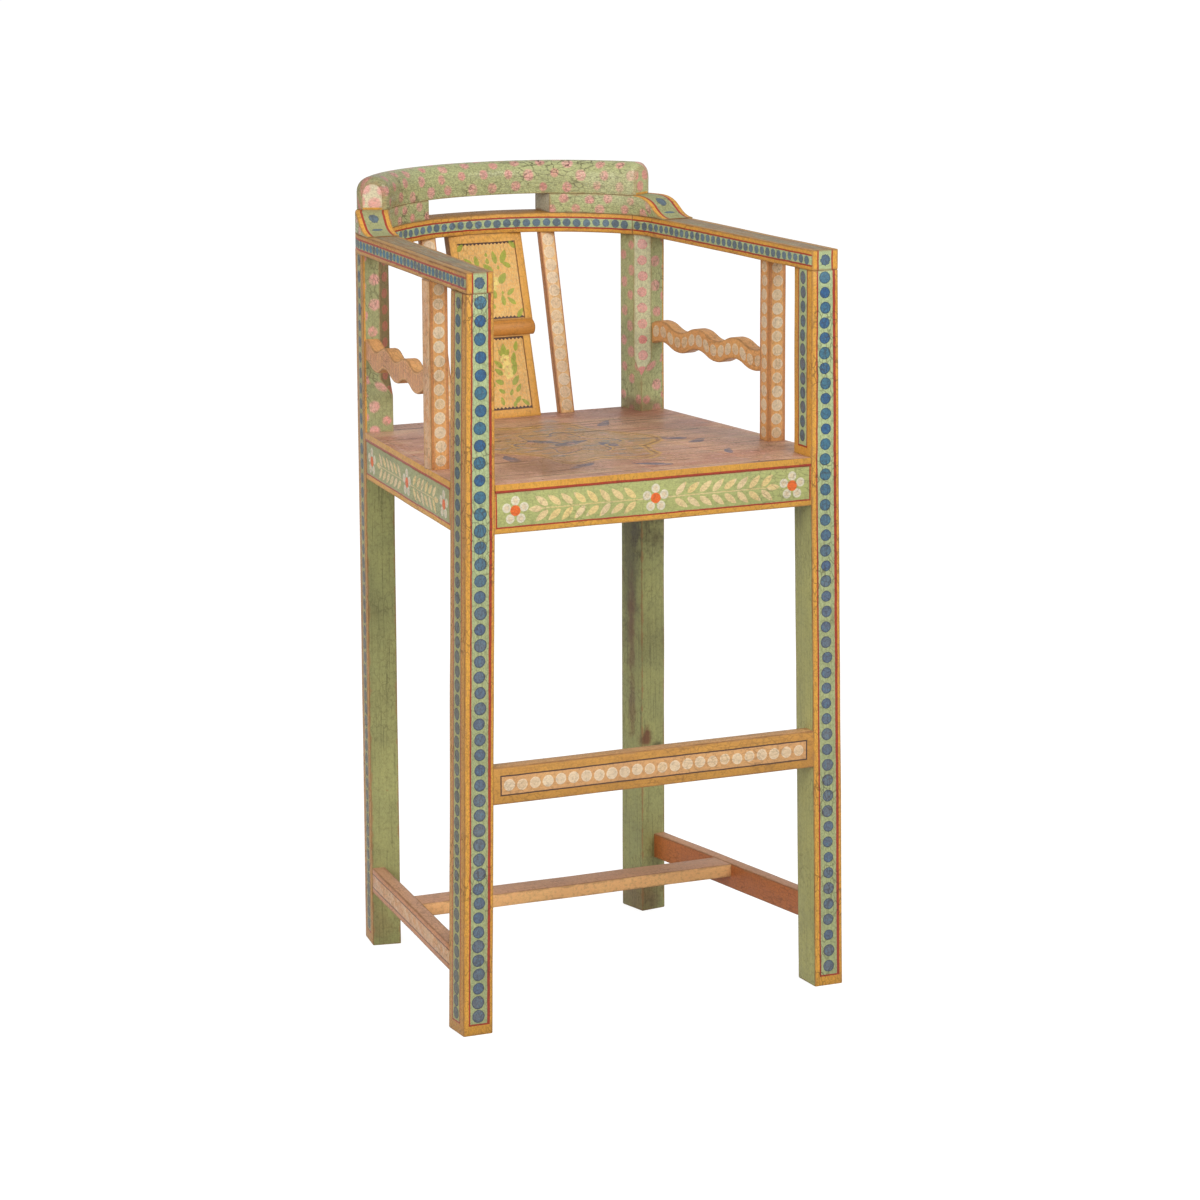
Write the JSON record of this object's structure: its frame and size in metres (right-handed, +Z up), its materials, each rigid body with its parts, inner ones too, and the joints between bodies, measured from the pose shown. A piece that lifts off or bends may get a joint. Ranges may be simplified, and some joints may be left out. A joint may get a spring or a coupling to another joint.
{
  "type": "tall painted armchair",
  "caption": "Tall hardwood armchair with a bowed arm rail, raised crest, raked splat and slats, wavy side rails and a footrest, painted all over with dots, stripes and leaf garlands.",
  "frame": {"origin": "on the floor, in the middle of the chair's overall width and depth", "axes": "+Z up, -Y the way the sitter faces, +X to the right of someone who faces the chair"},
  "size_m": [0.538, 0.5742, 1.033],
  "materials": {
    "green_paint": "aged satin paint, sage green with rows of dots",
    "ochre_paint": "aged satin paint, ochre",
    "peach_paint": "aged satin paint, peach orange with pale dots",
    "terracotta_paint": "worn paint, terracotta and mauve brown",
    "seat_paint": "worn paint, mauve brown with faded scrolls",
    "bare_wood": "bare dowel",
    "iron": "dull nail"
  },
  "bodies": {
    "root": {"front_leg_left": "green_paint", "front_leg_right": "green_paint", "back_leg_left": "green_paint", "back_leg_right": "green_paint", "front_rail": "green_paint", "back_rail": "green_paint", "side_rail_left": "green_paint", "side_rail_right": "green_paint", "arm_left": "green_paint", "arm_right": "green_paint", "back_bow": "green_paint", "crest_roll": "green_paint", "crest_riser_left": "green_paint", "crest_riser_right": "green_paint", "footrest": "peach_paint", "splat_board": "peach_paint", "slat_left": "peach_paint", "slat_right": "peach_paint", "arm_support_left": "peach_paint", "arm_support_right": "peach_paint", "wavy_rail_left": "peach_paint", "wavy_rail_right": "peach_paint", "splat_moulding": "ochre_paint", "side_stretcher_left": "terracotta_paint", "side_stretcher_right": "terracotta_paint", "cross_stretcher": "terracotta_paint", "seat_board": "seat_paint", "crest_dowels": "bare_wood", "ramp_dowels": "bare_wood", "seat_nails": "iron", "moulding_pins": "iron"}
  },
  "joints": []
}
